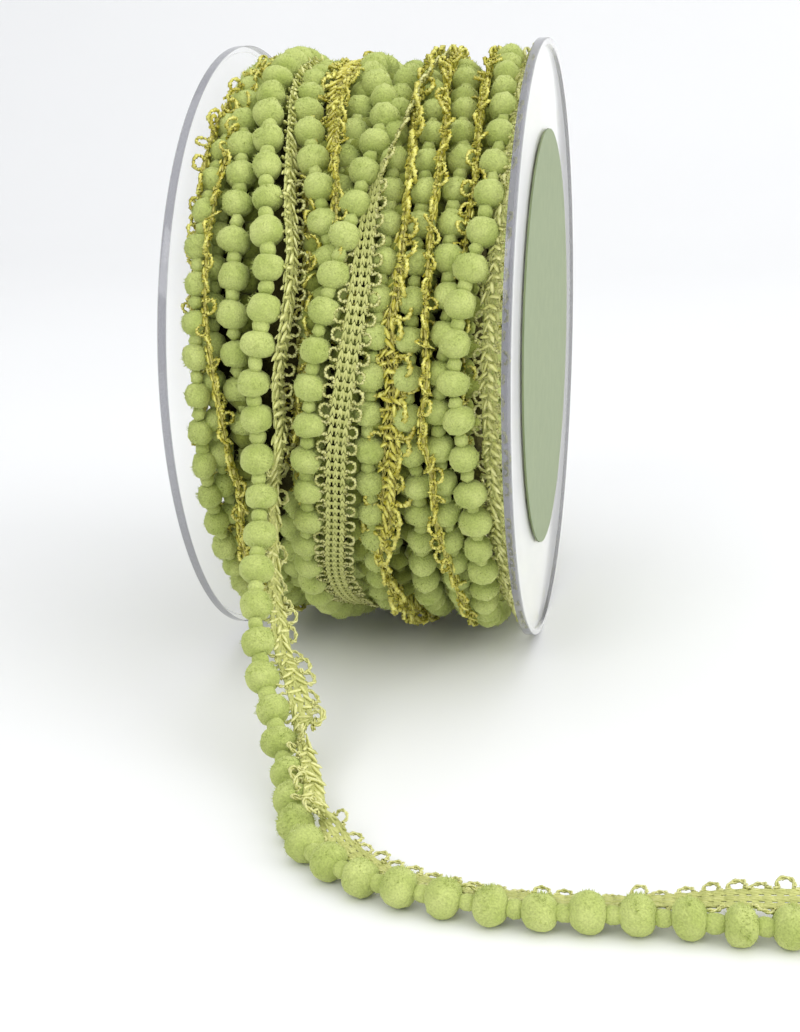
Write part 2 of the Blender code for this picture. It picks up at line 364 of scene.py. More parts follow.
def template_ball(subdivisions):
    """Points and triangles of a squarish ball of radius 1."""
    shape = bmesh.new()
    bmesh.ops.create_icosphere(shape, subdivisions=subdivisions, radius=1.0)
    points = np.array([vertex.co[:] for vertex in shape.verts])
    faces = np.array([[vertex.index for vertex in face.verts] for face in shape.faces])
    shape.free()
    ends = np.abs(points[:, 0]) ** POMPOM_SQUARENESS
    waist = np.hypot(points[:, 1], points[:, 2]) ** POMPOM_SQUARENESS
    return points / (ends + waist)[:, None] ** (1 / POMPOM_SQUARENESS), faces


def bulged(points, count, bulge, grain):
    """count balls from one, each with slow bulges and a fine grain of its own."""
    swell = np.ones((count, len(points)))
    for waves, share in BULGES:
        way = unit(draw.normal(size=(count, 3)))
        phase = draw.uniform(0, math.tau, (count, 1))
        swell += bulge * share * np.sin(waves * way @ points.T + phase)
    swell += draw.normal(0, grain, swell.shape)
    return points[None] * swell[:, :, None]


def jostled(frames, sizes, most_turn):
    """The frames scaled by (n, 3) sizes and tipped a little at random."""
    tip = draw.normal(0, most_turn, (len(frames), 3))
    turned = frames + np.cross(tip[:, None, :], frames)
    return unit(turned) * sizes[:, :, None]


def pompom_chain(run, first, count, pitch=POMPOM_PITCH, detail=2, bulge=0.045, squeeze=1.0):
    """(points, faces) of pompoms and beads, and the pompoms' spots and frames, from a length on.
    A pompom that would sink into the table is lifted onto it."""
    ball, ball_faces = template_ball(detail)
    spots, frames = stations(run, first + pitch * np.arange(count))
    spots = spots + draw.normal(0, OUT_OF_LINE, spots.shape)
    sizes = np.array([POMPOM_HALF_LENGTH, POMPOM_HALF_WIDTH * squeeze, POMPOM_HALF_WIDTH])
    sizes = sizes * np.clip(draw.normal(1, SIZE_SPREAD, (count, 3)), SMALLEST, LARGEST)
    frames_now = jostled(frames, sizes, TIPPED)
    points, faces = copies(bulged(ball, count, bulge, SKIN), ball_faces, spots, frames_now)
    each = points.reshape(count, -1, 3)
    sunk = np.minimum(each[:, :, 2].min(axis=1), 0.0)
    each[:, :, 2] -= sunk[:, None]
    spots[:, 2] -= sunk
    bead, bead_faces = template_ball(max(detail - 1, 1))
    bead_spots, bead_frames = stations(run, first + pitch * (np.arange(count) + 0.5))
    bead_sizes = np.array([BEAD_HALF_LENGTH, BEAD_HALF_WIDTH, BEAD_HALF_WIDTH])
    bead_sizes = bead_sizes * draw.normal(1, BEAD_SIZE_SPREAD, (count, 3))
    bead_frames = jostled(bead_frames, bead_sizes, BEAD_TIPPED)
    beads = copies(bulged(bead, count, BEAD_BULGE, BEAD_SKIN), bead_faces, bead_spots, bead_frames)
    return together([(each.reshape(-1, 3), faces), beads]), (spots, frames_now)


SPIKE = np.array([[0.0, 0.0, 1.0], [1.0, 0.0, 0.0], [-0.5, 0.87, 0.0], [-0.5, -0.87, 0.0]])
SPIKE_FACES = np.array([[0, 1, 2], [0, 2, 3], [0, 3, 1]])
SPIKE_HALF_WIDTH = 0.065
SPIKE_LENGTH = 0.45
SPIKE_STRAYS = 0.6
SPIKE_ROOT = 0.97
INNERMOST_SPIKE = -0.25


def pile_tips(spots, frames, each):
    """Short spikes over the outer side of each pompom."""
    count = len(spots)
    ways = unit(draw.normal(size=(count, each, 3)))
    ways[:, :, 2] = np.where(ways[:, :, 2] < INNERMOST_SPIKE, -ways[:, :, 2], ways[:, :, 2])
    roots = np.einsum("nei,nij->nej", ways * SPIKE_ROOT, frames) + spots[:, None, :]
    outward = unit(np.einsum("nei,nij->nej", ways, frames) + draw.normal(0, SPIKE_STRAYS, ways.shape))
    side = unit(np.cross(outward, draw.normal(size=outward.shape)))
    other = np.cross(outward, side)
    reach = SPIKE_LENGTH * draw.uniform(0.6, 1.3, (count, each, 1))
    spike_frames = np.stack([side * SPIKE_HALF_WIDTH, other * SPIKE_HALF_WIDTH, outward * reach], 2)
    return copies(SPIKE, SPIKE_FACES, roots.reshape(-1, 3), spike_frames.reshape(-1, 3, 3))


# %% [markdown]
# ## The velvet
# Chenille pile is matt and gathers light at its edges. The colour is an uneven soft green. Two
# noise patterns make it: a broad one for the dye and a fine one for the pile, which also drives the
# bump. The sheen lobe gives the pale rim that velvet has. The layer underneath and the older turns
# are painted darker than their green really is: painted shade, for the little light that reaches them.


# %% Mix the velvet
NOISE_RANGE = (0.3, 0.7)


def noise_colour(tree, scale, detail, low, high):
    """A colour from one noise pattern over the model, between two linear colours."""
    place = add_node(tree, "ShaderNodeNewGeometry")
    grain = add_node(tree, "ShaderNodeTexNoise", Scale=scale, Detail=detail)
    ramp = tree.nodes.new("ShaderNodeValToRGB")
    for stop, position, colour in zip(ramp.color_ramp.elements, NOISE_RANGE, (low, high)):
        stop.position = position
        stop.color = (*colour, 1.0)
    tree.links.new(place.outputs["Position"], grain.inputs["Vector"])
    tree.links.new(grain.outputs["Fac"], ramp.inputs["Fac"])
    return ramp, grain, place


def bump_from(tree, height, strength, depth, shader):
    bump = add_node(tree, "ShaderNodeBump", Strength=strength, Distance=depth)
    tree.links.new(height, bump.inputs["Height"])
    tree.links.new(bump.outputs["Normal"], shader.inputs["Normal"])


def velvet_finish(name, low, high):
    made, tree, shader = finish_nodes(name)
    dye, _, place = noise_colour(tree, 260.0, 3.0, low, high)
    pile = add_node(tree, "ShaderNodeTexNoise", Scale=3800.0, Detail=2.0)
    darkest, palest = NOISE_RANGE
    shade = add_node(
        tree, "ShaderNodeMapRange", From_Min=darkest, From_Max=palest, To_Min=0.80, To_Max=1.10
    )
    blend = tree.nodes.new("ShaderNodeMix")
    blend.data_type = "RGBA"
    blend.blend_type = "MULTIPLY"
    blend.inputs["Factor"].default_value = 1.0
    tree.links.new(place.outputs["Position"], pile.inputs["Vector"])
    tree.links.new(pile.outputs["Fac"], shade.inputs["Value"])
    tree.links.new(dye.outputs["Color"], blend.inputs["A"])
    tree.links.new(shade.outputs["Result"], blend.inputs["B"])
    tree.links.new(blend.outputs["Result"], shader.inputs["Base Color"])
    bump_from(tree, pile.outputs["Fac"], 0.7, 0.00025, shader)
    shader.inputs["Roughness"].default_value = 0.95
    shader.inputs["Specular IOR Level"].default_value = 0.15
    shader.inputs["Sheen Weight"].default_value = 0.35
    shader.inputs["Sheen Roughness"].default_value = 0.45
    shader.inputs["Sheen Tint"].default_value = (0.92, 0.95, 0.50, 1.0)
    return made


velvet = velvet_finish("chenille_velvet", (0.40, 0.475, 0.125), (0.56, 0.625, 0.215))
# Painted shade: the under layer is a darker green than the trim has, for the little light that reaches it.
under_velvet_painted_shade = velvet_finish("chenille_under_painted_shade", (0.19, 0.22, 0.04), (0.32, 0.37, 0.08))
# Painted shade: the older turns are near black, a dark stand-in for the shade deep in the valleys.
old_turns_painted_shade_velvet = velvet_finish("chenille_old_turns_painted_shade", (0.02, 0.015, 0.004), (0.07, 0.065, 0.015))

# %% [markdown]
# ## The tape
# Beside the pompoms runs a woven tape about as wide as a matchstick is thick: three chains of
# stitches with two columns of tiny holes between them, held by weft threads. A stitch is a pair of
# plump grains that make a V, so a chain is that pair repeated. The gimp, a shiny twisted cord,
# crosses the band in a loose zigzag, and its short floats show on a crumpled tape. Along both edges
# it swings out into a loop and back. One repeat is a twisted tube that runs along the edge, round
# three quarters of a circle and on, so that the repeats join. Where the tape is crumpled between
# the turns each loop tips its own way. Sizes here are half lengths, half widths and half heights.

# %% Make the grains
TAPE_HALF = 1.55
CHAIN_APART = 1.12
LOOP_PITCH = POMPOM_PITCH / 2
STITCH_PITCH = POMPOM_PITCH / 4


def spindle(sides, stops):
    """A grain along X of half length 1: points and triangles."""
    rings = []
    for at, radius in stops:
        angles = math.tau * (np.arange(sides) + 0.5) / sides
        rings.append(np.stack([np.full(sides, at), radius * np.cos(angles), radius * np.sin(angles)], 1))
    points = np.concatenate(rings)
    return points, tube_faces(len(stops), sides)


def tube_faces(rings, sides):
    """Triangles between rings of points."""
    faces = []
    for ring in range(rings - 1):
        for i in range(sides):
            j = (i + 1) % sides
            a, b = ring * sides, (ring + 1) * sides
            faces += [(a + i, b + i, b + j), (a + i, b + j, a + j)]
    return np.array(faces)


GRAIN_STOPS = ((-1.0, 0.25), (-0.45, 0.95), (0.35, 1.0), (1.0, 0.3))
GRAIN = spindle(4, GRAIN_STOPS)
PLAIN_GRAIN = spindle(3, GRAIN_STOPS)


# %% Stitch the band
STITCH_LEAN = math.radians(11)
STITCH_SIZE = (0.86, 0.25, 0.27)
STITCH_OFF_CHAIN = 0.17
WEFT_INSET = 0.1
WEFT_SIZE = (0.4, 0.13)
WEFT_DEPTH = 0.05
FLOAT_SLANT, FLOAT_SLANT_SPREAD = 38, 24
FLOAT_SIZE = (0.36, 0.34)
FLOAT_SIZE_SPREAD = 0.15
FLOAT_OFF_MIDDLE, FLOAT_OFF_SPREAD = 0.7, 0.3
FLOAT_RISE, FLOAT_RISE_SPREAD = 0.32, 0.12


def chain_stitches(run, lengths, grain=GRAIN):
    """The three chains of the tape: pairs of grains in a V at each length, and a weft thread."""
    spots, frames = stations(run, lengths)
    along, across, out = frames[:, 0], frames[:, 1], frames[:, 2]
    long, wide, high = STITCH_SIZE
    parts = []
    for column in (-1, 0, 1):
        for side in (-1, 1):
            lean = STITCH_LEAN * side
            way = math.cos(lean) * along + math.sin(lean) * across
            flank = math.cos(lean) * across - math.sin(lean) * along
            grain_frames = np.stack([way * long, flank * wide, out * high], 1)
            spot = spots + across * (column * CHAIN_APART + side * STITCH_OFF_CHAIN)
            parts.append(copies(*grain, spot, grain_frames))
    wide, high = WEFT_SIZE
    weft_frames = np.stack([across * (TAPE_HALF - WEFT_INSET), along * wide, out * high], 1)
    parts.append(copies(*grain, spots - out * WEFT_DEPTH, weft_frames))
    return together(parts)


def gimp_floats(run, lengths, plump=1.0, grain=PLAIN_GRAIN):
    """The cord where it crosses the band in a loose zigzag, over both of its faces."""
    spots, frames = stations(run, lengths)
    along, across, out = frames[:, 0], frames[:, 1], frames[:, 2]
    wide, high = (size * plump for size in FLOAT_SIZE)
    each = (len(spots), 1)
    parts = []
    for face in (-1, 1):
        for side in (-1, 1):
            slant = np.radians(draw.normal(FLOAT_SLANT * side, FLOAT_SLANT_SPREAD, each))
            way = np.cos(slant) * across + np.sin(slant) * along
            flank = np.cos(slant) * along - np.sin(slant) * across
            swell = draw.normal(1, FLOAT_SIZE_SPREAD, each)
            float_frames = np.stack([way * swell, flank * wide, out * high], 1)
            spot = spots + across * draw.normal(side * FLOAT_OFF_MIDDLE, FLOAT_OFF_SPREAD, each)
            spot += out * face * draw.normal(FLOAT_RISE, FLOAT_RISE_SPREAD, each)
            parts.append(copies(*grain, spot, float_frames))
    return together(parts)


# %% Bend the loops
LOOP_HALF_WIDTH = 0.93
LOOP_HALF_REACH = 0.8
LOOP_CENTRE = 0.72
LOOP_SWEEP = (222, -42)
LOOP_LEAD = ((-LOOP_PITCH / 2, 0.02, 0.0), (-1.02, 0.0, 0.05))
LOOP_SIZE_SPREAD = 0.06
CORD_SIDES = 4
CORD_TWISTS = 2.5
CORD_HALF_THICK = 0.363
CORD_HALF_THIN = 0.2475
PLY_HALF = 0.17
PLY_OFF_MIDDLE = 0.14


def loop_template(bends, plies):
    """One repeat of the edge cord, from -X to +X: along the tape's edge, out into a loop and on."""
    sweep = np.radians(np.linspace(*LOOP_SWEEP, bends))
    beyond = LOOP_CENTRE + LOOP_HALF_REACH * np.sin(sweep)
    arc = np.stack([LOOP_HALF_WIDTH * np.cos(sweep), beyond, 0 * sweep], 1)
    lead = np.array(LOOP_LEAD)
    middle = np.concatenate([lead, arc, lead[::-1] * [-1, 1, 1]])
    rings = len(middle)
    ahead = unit(np.gradient(middle, axis=0))
    upward = np.tile([0.0, 0.0, 1.0], (rings, 1))
    outward = unit(np.cross(upward, ahead))
    parts = []
    for ply in range(plies):
        twist = np.linspace(0, math.tau * CORD_TWISTS, rings) + math.tau * ply / plies
        if plies == 1:
            centre, thick, thin = middle, CORD_HALF_THICK, CORD_HALF_THIN
        else:
            around = np.cos(twist)[:, None] * outward + np.sin(twist)[:, None] * upward
            centre, thick, thin = middle + PLY_OFF_MIDDLE * around, PLY_HALF, PLY_HALF
        points = []
        for i in range(CORD_SIDES):
            angle = math.tau * i / CORD_SIDES
            u, v = thick * math.cos(angle), thin * math.sin(angle)
            first = u * np.cos(twist) - v * np.sin(twist)
            second = u * np.sin(twist) + v * np.cos(twist)
            points.append(centre + first[:, None] * outward + second[:, None] * upward)
        parts.append((np.stack(points, 1).reshape(-1, 3), tube_faces(rings, CORD_SIDES)))
    return together(parts)


def edge_loops(run, lengths, edge, bends=10, plies=1, tilt=0.0, tip=8.0, spread=0.04, size=1.0):
    """Loops along one edge: 1 is the far one, -1 the pompoms' one. tilt bends them out of the face,
    tip is how far each strays from that, in degrees, and spread how unevenly they are set."""
    template, faces = loop_template(bends, plies)
    spots, frames = stations(run, lengths + draw.normal(0, spread * LOOP_PITCH, len(lengths)))
    along, across, out = frames[:, 0], frames[:, 1], frames[:, 2]
    tips = np.radians(tilt + draw.normal(0, tip, len(spots)))[:, None]
    skew = draw.normal(0, tip / 90, (len(spots), 1))
    outward = np.cos(tips) * across * edge + np.sin(tips) * out
    upward = np.cos(tips) * out - np.sin(tips) * across * edge
    sideways = unit(along + skew * upward)
    scale = size * draw.normal(1, LOOP_SIZE_SPREAD, (len(spots), 1))
    loop_frames = np.stack([sideways * scale, outward * scale, upward * scale], 1)
    return copies(template, faces, spots + across * edge * TAPE_HALF, loop_frames)


# %% [markdown]
# ## Thread finishes
# The chains are a dull cotton-like thread and the loops a bright rayon cord, so they are two
# materials. Where the tape is crumpled it looks golden and where it lies neat it looks pale, so
# each has a second dye. All take a fine bump for the twist of the thread. The cord is smooth enough
# to mirror the lamps. The gold cord's colour runs from dark brown-gold to bright straw along its
# length: partly its own uneven tone, partly painted glints and painted shade, which make it glitter
# between the matt pompoms.


# %% Mix the threads
def thread_finish(name, low, high, roughness, shine, dye_scale, bump):
    """A thread dyed between two colours, low and high, in patches of 1 / dye_scale metres."""
    made, tree, shader = finish_nodes(name)
    dye, _, place = noise_colour(tree, dye_scale, 3.0, low, high)
    tree.links.new(dye.outputs["Color"], shader.inputs["Base Color"])
    twist = add_node(tree, "ShaderNodeTexNoise", Scale=7000.0, Detail=1.0)
    tree.links.new(place.outputs["Position"], twist.inputs["Vector"])
    bump_from(tree, twist.outputs["Fac"], bump, 0.0001, shader)
    shader.inputs["Roughness"].default_value = roughness
    shader.inputs["Specular IOR Level"].default_value = shine
    return made


tape_thread = thread_finish("tape_thread", (0.44, 0.46, 0.14), (0.62, 0.63, 0.23), 0.6, 0.4, 900.0, 0.4)
gold_thread = thread_finish(
    "tape_back_thread", (0.34, 0.30, 0.03), (0.74, 0.69, 0.17), 0.36, 0.8, 800.0, 0.4
)
# Painted glints and shade: this cord's colour runs from dark brown-gold to near-white straw, partly its own
# uneven tone.
gold_cord_painted_glints = thread_finish("gimp_cord", (0.50, 0.43, 0.02), (1.0, 0.97, 0.25), 0.27, 0.8, 700.0, 0.35)
pale_cord = thread_finish("gimp_cord_neat", (0.56, 0.57, 0.16), (0.86, 0.85, 0.38), 0.34, 0.7, 700.0, 0.35)

# %% [markdown]
# ## The turns on the spool
# Nobody winds a bumpy trim neatly. The turns that show wander, climb over each other and leave
# dark valleys. Each row of this table is one turn's pompoms: its places across the spool at a few
# angles down the front, the radius of its pompoms' middles, and one angle at which a pompom sits,
# all read from the photograph. At the back, which it doesn't show, the turns just lie side by side.
# Every turn keeps clear of the flanges. A turn that lies squeezed between others has narrower
# pompoms. Each row is a closed turn, so its pompoms are set a hair closer or wider than their usual
# step, to come out even.

# %% List the turns
PLAIN_TURNS = (
    dict(name="a", at={100: -21.2, 50: -21.2, 35: -22.0, 5: -22.2, -39: -22.2, -90: -22.0, 180: -21.8},
         radius={0: 46.0}, pompom=20.0, squeeze=0.82),
    dict(name="a_under", at={90: -18.6, 45: -20.0, 16: -20.2, -13: -20.4, -45: -19.4, -90: -18.4,
                             180: -19.0},
         radius={0: 43.6}, pompom=1.0, squeeze=0.85),
    dict(name="b", at={110: -20.6, 70: -20.6, 57: -18.8, 42: -17.0, 12: -16.2, -15: -15.2, -45: -16.4,
                       -90: -17.3, 180: -17.3},
         radius={70: 46.6, 40: 47.0, 10: 46.0, -10: 44.0, -60: 45.0, -90: 46.0, 180: 46.0}, pompom=42.0),
    dict(name="c", at={115: -9.4, 75: -10.6, 54: -7.9, 37: -4.2, 28: -2.4, 10: 1.0, -20: 0.6, -60: -3.0,
                       -90: -6.0, 180: -7.6},
         radius={75: 46.0, 37: 46.0, 25: 44.6, 10: 43.4, -60: 43.6, -90: 45.0, 180: 45.2}, pompom=46.0),
    dict(name="d", at={120: -1.6, 72: -0.3, 60: 3.6, 50: 3.2, 36: 1.9, 22: -0.6, 8: -3.2, -6: -4.7,
                       -22: -6.2, -44: -8.8, -62: -8.8, -90: -4.6, 180: -2.0},
         radius={0: 47.0}, pompom=1.0),
    dict(name="d_under", at={100: -4.4, 65: -1.3, 44: -1.5, 20: -3.4, -15: -6.0, -35: -11.0, -60: -12.6,
                             -90: -11.0, 180: -5.0},
         radius={65: 45.4, 44: 44.6, 20: 43.2, -60: 43.8, 180: 43.6}, pompom=55.0),
    dict(name="e", at={120: 3.2, 75: 4.4, 47: 6.2, 30: 6.5, 15: 5.9, -13: 3.8, -30: 3.4, -50: 1.6,
                       -90: 2.4, 180: 3.6},
         radius={0: 45.5}, pompom=39.0, squeeze=0.93),
    dict(name="f", at={110: 8.4, 73: 8.8, 61: 10.9, 45: 11.5, 12: 11.0, -3: 10.5, -19: 11.3, -46: 10.0,
                       -90: 9.0, 180: 9.2},
         radius={0: 46.0}, pompom=31.0, squeeze=0.92),
    dict(name="g", at={110: 12.4, 89: 12.5, 75: 14.5, 61: 15.4, 46: 16.8, 35: 16.2, 11: 16.3, -1: 15.2,
                       -35: 15.6, -90: 14.2, 180: 14.4},
         radius={0: 46.0, 45: 45.6}, pompom=46.0, squeeze=0.93),
    dict(name="h", at={110: 19.4, 89: 20.1, 70: 21.6, 45: 22.3, 30: 21.0, 16: 18.5, 2: 17.7, -13: 19.1,
                       -35: 20.2, -70: 18.4, -90: 18.8, 180: 19.4},
         radius={0: 47.4}, pompom=16.0),
)
FLANGE_CLEARANCE = 0.15
WHOLE_TURN = np.arange(180.0, -181.0, -1.0)


def kept_inside(places, half_width):
    """Places across the spool held clear of both flanges."""
    most = HALF_INSIDE - half_width - FLANGE_CLEARANCE
    return {angle: min(max(x, -most), most) for angle, x in places.items()}


def even_steps(run):
    """How many pompoms fill a closed run, and the exact step between them."""
    count = round(run["lengths"][-1] / POMPOM_PITCH)
    return count, run["lengths"][-1] / count


def wound_turn(row):
    """One closed turn: its run, where its first pompom goes, how many there are and their step."""
    run = drum_run(kept_inside(row["at"], POMPOM_HALF_WIDTH), row["radius"], WHOLE_TURN)
    count, pitch = even_steps(run)
    start = np.interp(-row["pompom"], -WHOLE_TURN, run["lengths"]) % pitch
    return run, start, count, pitch


# %% [markdown]
# ## The turn that comes loose
# One turn rides on top of the others. It comes up from the back, runs over the top and down the
# front, and a little below the middle it leaves the drum. From there its route is a list of the
# pompoms' places: a steep drop, a long sweep down to the table and a level run to the right. The
# tape twists along the way, so each place also has the way across to the looped edge. The turn is
# measured backwards from where it lifts off, so that the pompoms march on without a jump.

# %% Trace the loose end
LIFT_OFF_ANGLE = -8.4
LOOSE_RADIUS = {265: 45.4, 230: 46.6, 180: 47.2, 120: 48.0, 60: 48.2, 0: 48.4}
LOOSE_PLACES = {265: -13.2, 180: -12.8, 120: -15.4, 89: -15.9, 65: -15.3, 50: -13.4, 36: -12.0,
                21: -10.5, 12: -11.2, 1: -12.5, -5: -12.4}
LOOSE_END = (
    dict(x=-12.4, y=-48.6, z=43.6, across=(0.22, 0.97, -0.09)),
    dict(x=-12.1, y=-49.2, z=37.8, across=(0.23, 0.95, -0.22)),
    dict(x=-11.7, y=-51.6, z=31.4, across=(0.24, 0.87, -0.43)),
    dict(x=-11.2, y=-55.6, z=25.4, across=(0.34, 0.78, -0.53)),
    dict(x=-10.4, y=-60.0, z=20.0, across=(0.62, 0.67, -0.41)),
    dict(x=-8.8, y=-64.0, z=15.2, across=(0.68, 0.66, -0.32)),
    dict(x=-6.6, y=-68.2, z=11.2, across=(0.87, 0.49, -0.03)),
    dict(x=-4.2, y=-72.6, z=7.9, across=(0.80, 0.56, -0.21)),
    dict(x=-1.9, y=-77.2, z=5.2, across=(0.83, 0.51, -0.20)),
    dict(x=0.4, y=-82.2, z=3.4, across=(0.82, 0.55, -0.05)),
    dict(x=2.2, y=-87.4, z=2.6, across=(0.76, 0.64, 0.08)),
    dict(x=4.2, y=-92.4, z=2.4, across=(0.62, 0.78, 0.06)),
    dict(x=7.4, y=-97.0, z=2.4, across=(0.50, 0.86, -0.06)),
    dict(x=15.1, y=-102.4, z=2.4, across=(0.38, 0.90, -0.20)),
    dict(x=27.2, y=-105.6, z=2.4, across=(0.17, 0.96, -0.22)),
    dict(x=38.0, y=-106.4, z=2.4, across=(0.00, 0.98, -0.20)),
    dict(x=49.0, y=-105.7, z=2.4, across=(-0.03, 0.99, -0.12)),
    dict(x=60.0, y=-105.8, z=2.4, across=(-0.04, 0.97, 0.22)),
    dict(x=71.0, y=-104.9, z=2.4, across=(-0.10, 0.95, 0.28)),
    dict(x=81.0, y=-103.4, z=2.4, across=(-0.14, 0.98, 0.14)),
)
REST_HEIGHT = 2.42


def through(values, steps):
    """A smooth curve through rows of values, with some steps between each two."""
    values = np.array(values, float)
    padded = np.concatenate([values[:1], values, values[-1:]])
    shares = np.arange(steps)[:, None] / steps
    pieces = []
    for before, start, end, after in zip(padded, padded[1:], padded[2:], padded[3:]):
        bend = 2 * before - 5 * start + 4 * end - after
        twist = 3 * (start - end) + after - before
        pieces.append(start + 0.5 * shares * (end - before + shares * (bend + shares * twist)))
    return np.concatenate(pieces + [values[-1:]])


ROW_STEPS = 12
loose_points = through([(row["x"], row["y"], row["z"]) for row in LOOSE_END], ROW_STEPS)
loose_points[:, 2] = np.maximum(loose_points[:, 2], REST_HEIGHT)
loose_run = run_from(loose_points, through([row["across"] for row in LOOSE_END], ROW_STEPS))
LOOSE_LENGTH = loose_run["lengths"][-1]
on_top_angles = np.arange(265.0, LIFT_OFF_ANGLE, -1.0)
on_top_run = drum_run(LOOSE_PLACES, LOOSE_RADIUS, on_top_angles)
ON_TOP_LENGTH = on_top_run["lengths"][-1]
print(f"loose end {LOOSE_LENGTH:.0f} mm, its turn on the drum {ON_TOP_LENGTH:.0f} mm")

# %% [markdown]
# ## Wind the pompoms
# The chains go into three meshes: the left turns, the right turns and a layer underneath, which
# fills what would otherwise be see-through. The layer underneath has plainer balls, painted a darker
# green as painted shade. Below it all is a rough barrel, the older turns, painted near black as
# painted shade, so that it only shows as darkness in the valleys. Through the clear flanges we see
# the ends of the older turns, so at each side a flat spiral of pompoms and loops runs inwards. All
# of them stand for the one solid that the winding is in the loaded model.

# %% Wind the turns that show
LEFT_TURNS = ("a", "a_under", "b", "c")
TIPS_EACH = 90
TOP_TURN_TIPS_EACH = 120

left_parts, right_parts, tip_parts = [], [], []
for row in PLAIN_TURNS:
    run, start, count, pitch = wound_turn(row)
    chain, (spots, frames) = pompom_chain(run, start, count, pitch, squeeze=row.get("squeeze", 1.0))
    (left_parts if row["name"] in LEFT_TURNS else right_parts).append(chain)
    tip_parts.append(pile_tips(spots, frames, TIPS_EACH))

on_top_count = int(ON_TOP_LENGTH / POMPOM_PITCH)
on_top_first = ON_TOP_LENGTH - POMPOM_PITCH * (on_top_count - 0.5)
chain, (spots, frames) = pompom_chain(on_top_run, on_top_first, on_top_count, detail=3)
left_parts.append(chain)
tip_parts.append(pile_tips(spots, frames, TOP_TURN_TIPS_EACH))

left_pompoms = joined_mesh("pompoms_left_turns", *together(left_parts), velvet)
right_pompoms = joined_mesh("pompoms_right_turns", *together(right_parts), velvet)
wound_tips = joined_mesh("pompoms_pile_tips", *together(tip_parts), velvet, smooth=False)
print("wound pompom faces:", sum(len(p.data.polygons) for p in (left_pompoms, right_pompoms)))

# %% Wind the layer underneath
UNDER_PLACES = (-15.6, -5.2, 0.0, 4.6, 8.9, 13.6, 19.2)
UNDER_RADIUS = 43.9
UNDER_WANDER = 0.7
UNDER_KNOTS = range(0, 360, 30)

under_parts = []
for number, place in enumerate(UNDER_PLACES):
    places = {at: place + UNDER_WANDER * math.sin(math.radians(2 * at) + number) for at in UNDER_KNOTS}
    run = drum_run(places, {0: UNDER_RADIUS}, WHOLE_TURN)
    count, pitch = even_steps(run)
    under_parts.append(pompom_chain(run, draw.uniform(0, pitch), count, pitch, detail=1)[0])
under_pompoms = joined_mesh("pompoms_under_turns", *together(under_parts), under_velvet_painted_shade)

# %% Fill the sides behind the flanges
SIDE_POMPOMS_AT = HALF_INSIDE - POMPOM_HALF_WIDTH - 0.35
SIDE_LOOPS_AT = HALF_INSIDE - 3.9
SIDE_OUTERMOST = 41.8
SIDE_INNERMOST = 8.0
SIDE_STEP = 4.9
SIDE_STEPS_PER_TURN = 90
SIDE_WANDER_IN, SIDE_WANDER_ACROSS = 0.5, 0.35


def side_spiral(x, outermost, start):
    """A run that winds inwards beside a flange, as the ends of the older turns do."""
    turns = (outermost - SIDE_INNERMOST) / SIDE_STEP
    turn = np.linspace(0, turns * math.tau, int(turns * SIDE_STEPS_PER_TURN))
    radius = outermost - SIDE_STEP * turn / math.tau + SIDE_WANDER_IN * np.sin(2.3 * turn + start)
    outward = math.copysign(1.0, x)
    place = x - SIDE_WANDER_ACROSS * outward * (1 + np.sin(1.7 * turn + start))
    return run_from(round_axis(place, radius, turn + start), np.tile([outward, 0.0, 0.0], (len(turn), 1)))


side_parts, side_loop_parts = [], []
for side in (-1, 1):
    run = side_spiral(side * SIDE_POMPOMS_AT, SIDE_OUTERMOST, 1.0 + side)
    side_parts.append(pompom_chain(run, 0.0, int(run["lengths"][-1] / POMPOM_PITCH), detail=1)[0])
    run = side_spiral(side * SIDE_LOOPS_AT, SIDE_OUTERMOST - SIDE_STEP / 2, 1.0 + side)
    at_loops = tape_lengths(run, LOOP_PITCH)
    side_loop_parts.append(edge_loops(run, at_loops, 1, bends=5, tip=40, spread=0.15, size=1.1))
side_pompoms = joined_mesh("pompoms_at_both_sides", *together(side_parts), velvet)
side_loops = joined_mesh("loops_at_both_sides", *together(side_loop_parts), gold_cord_painted_glints)
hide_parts("wound_trim")
print(f"side spirals end {SIDE_INNERMOST:.0f} mm from the axis")

# %% Put the older turns inside
BARREL_RADIUS = 40.6
BARREL_HALF = 20.6
BARREL_SIDES = 150
BARREL_ROWS = 40
BARREL_END_RINGS = 8
BARREL_RIPPLE = 0.9
BARREL_ROUGH = 0.12


def barrel():
    """A rough barrel of the older turns, closed at both ends."""
    angle = math.tau * np.arange(BARREL_SIDES) / BARREL_SIDES
    end_radii = np.linspace(0.1, BARREL_RADIUS, BARREL_END_RINGS + 1)[:-1]
    stops = [(-BARREL_HALF, radius) for radius in end_radii]
    stops += [(x, BARREL_RADIUS) for x in np.linspace(-BARREL_HALF, BARREL_HALF, BARREL_ROWS)]
    stops += [(BARREL_HALF, radius) for radius in end_radii[::-1]]
    points = []
    for x, radius in stops:
        ripple = BARREL_RIPPLE * np.sin(x * 1.1 + np.sin(5 * angle)) * np.sin(26 * angle + x)
        ripple += draw.normal(0, BARREL_ROUGH, BARREL_SIDES)
        points.append(round_axis(x, radius + ripple * radius / BARREL_RADIUS, angle))
    return np.concatenate(points), tube_faces(len(stops), BARREL_SIDES)[:, ::-1]


# Painted shade: the barrel is near black where the older turns are really green, for the darkness of the
# valleys.
old_turns = joined_mesh("older_turns_barrel", *barrel(), old_turns_painted_shade_velvet)
for piece in (left_pompoms, right_pompoms, wound_tips, under_pompoms, side_pompoms, old_turns):
    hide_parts("wound_trim")
print("barrel faces:", len(old_turns.data.polygons))

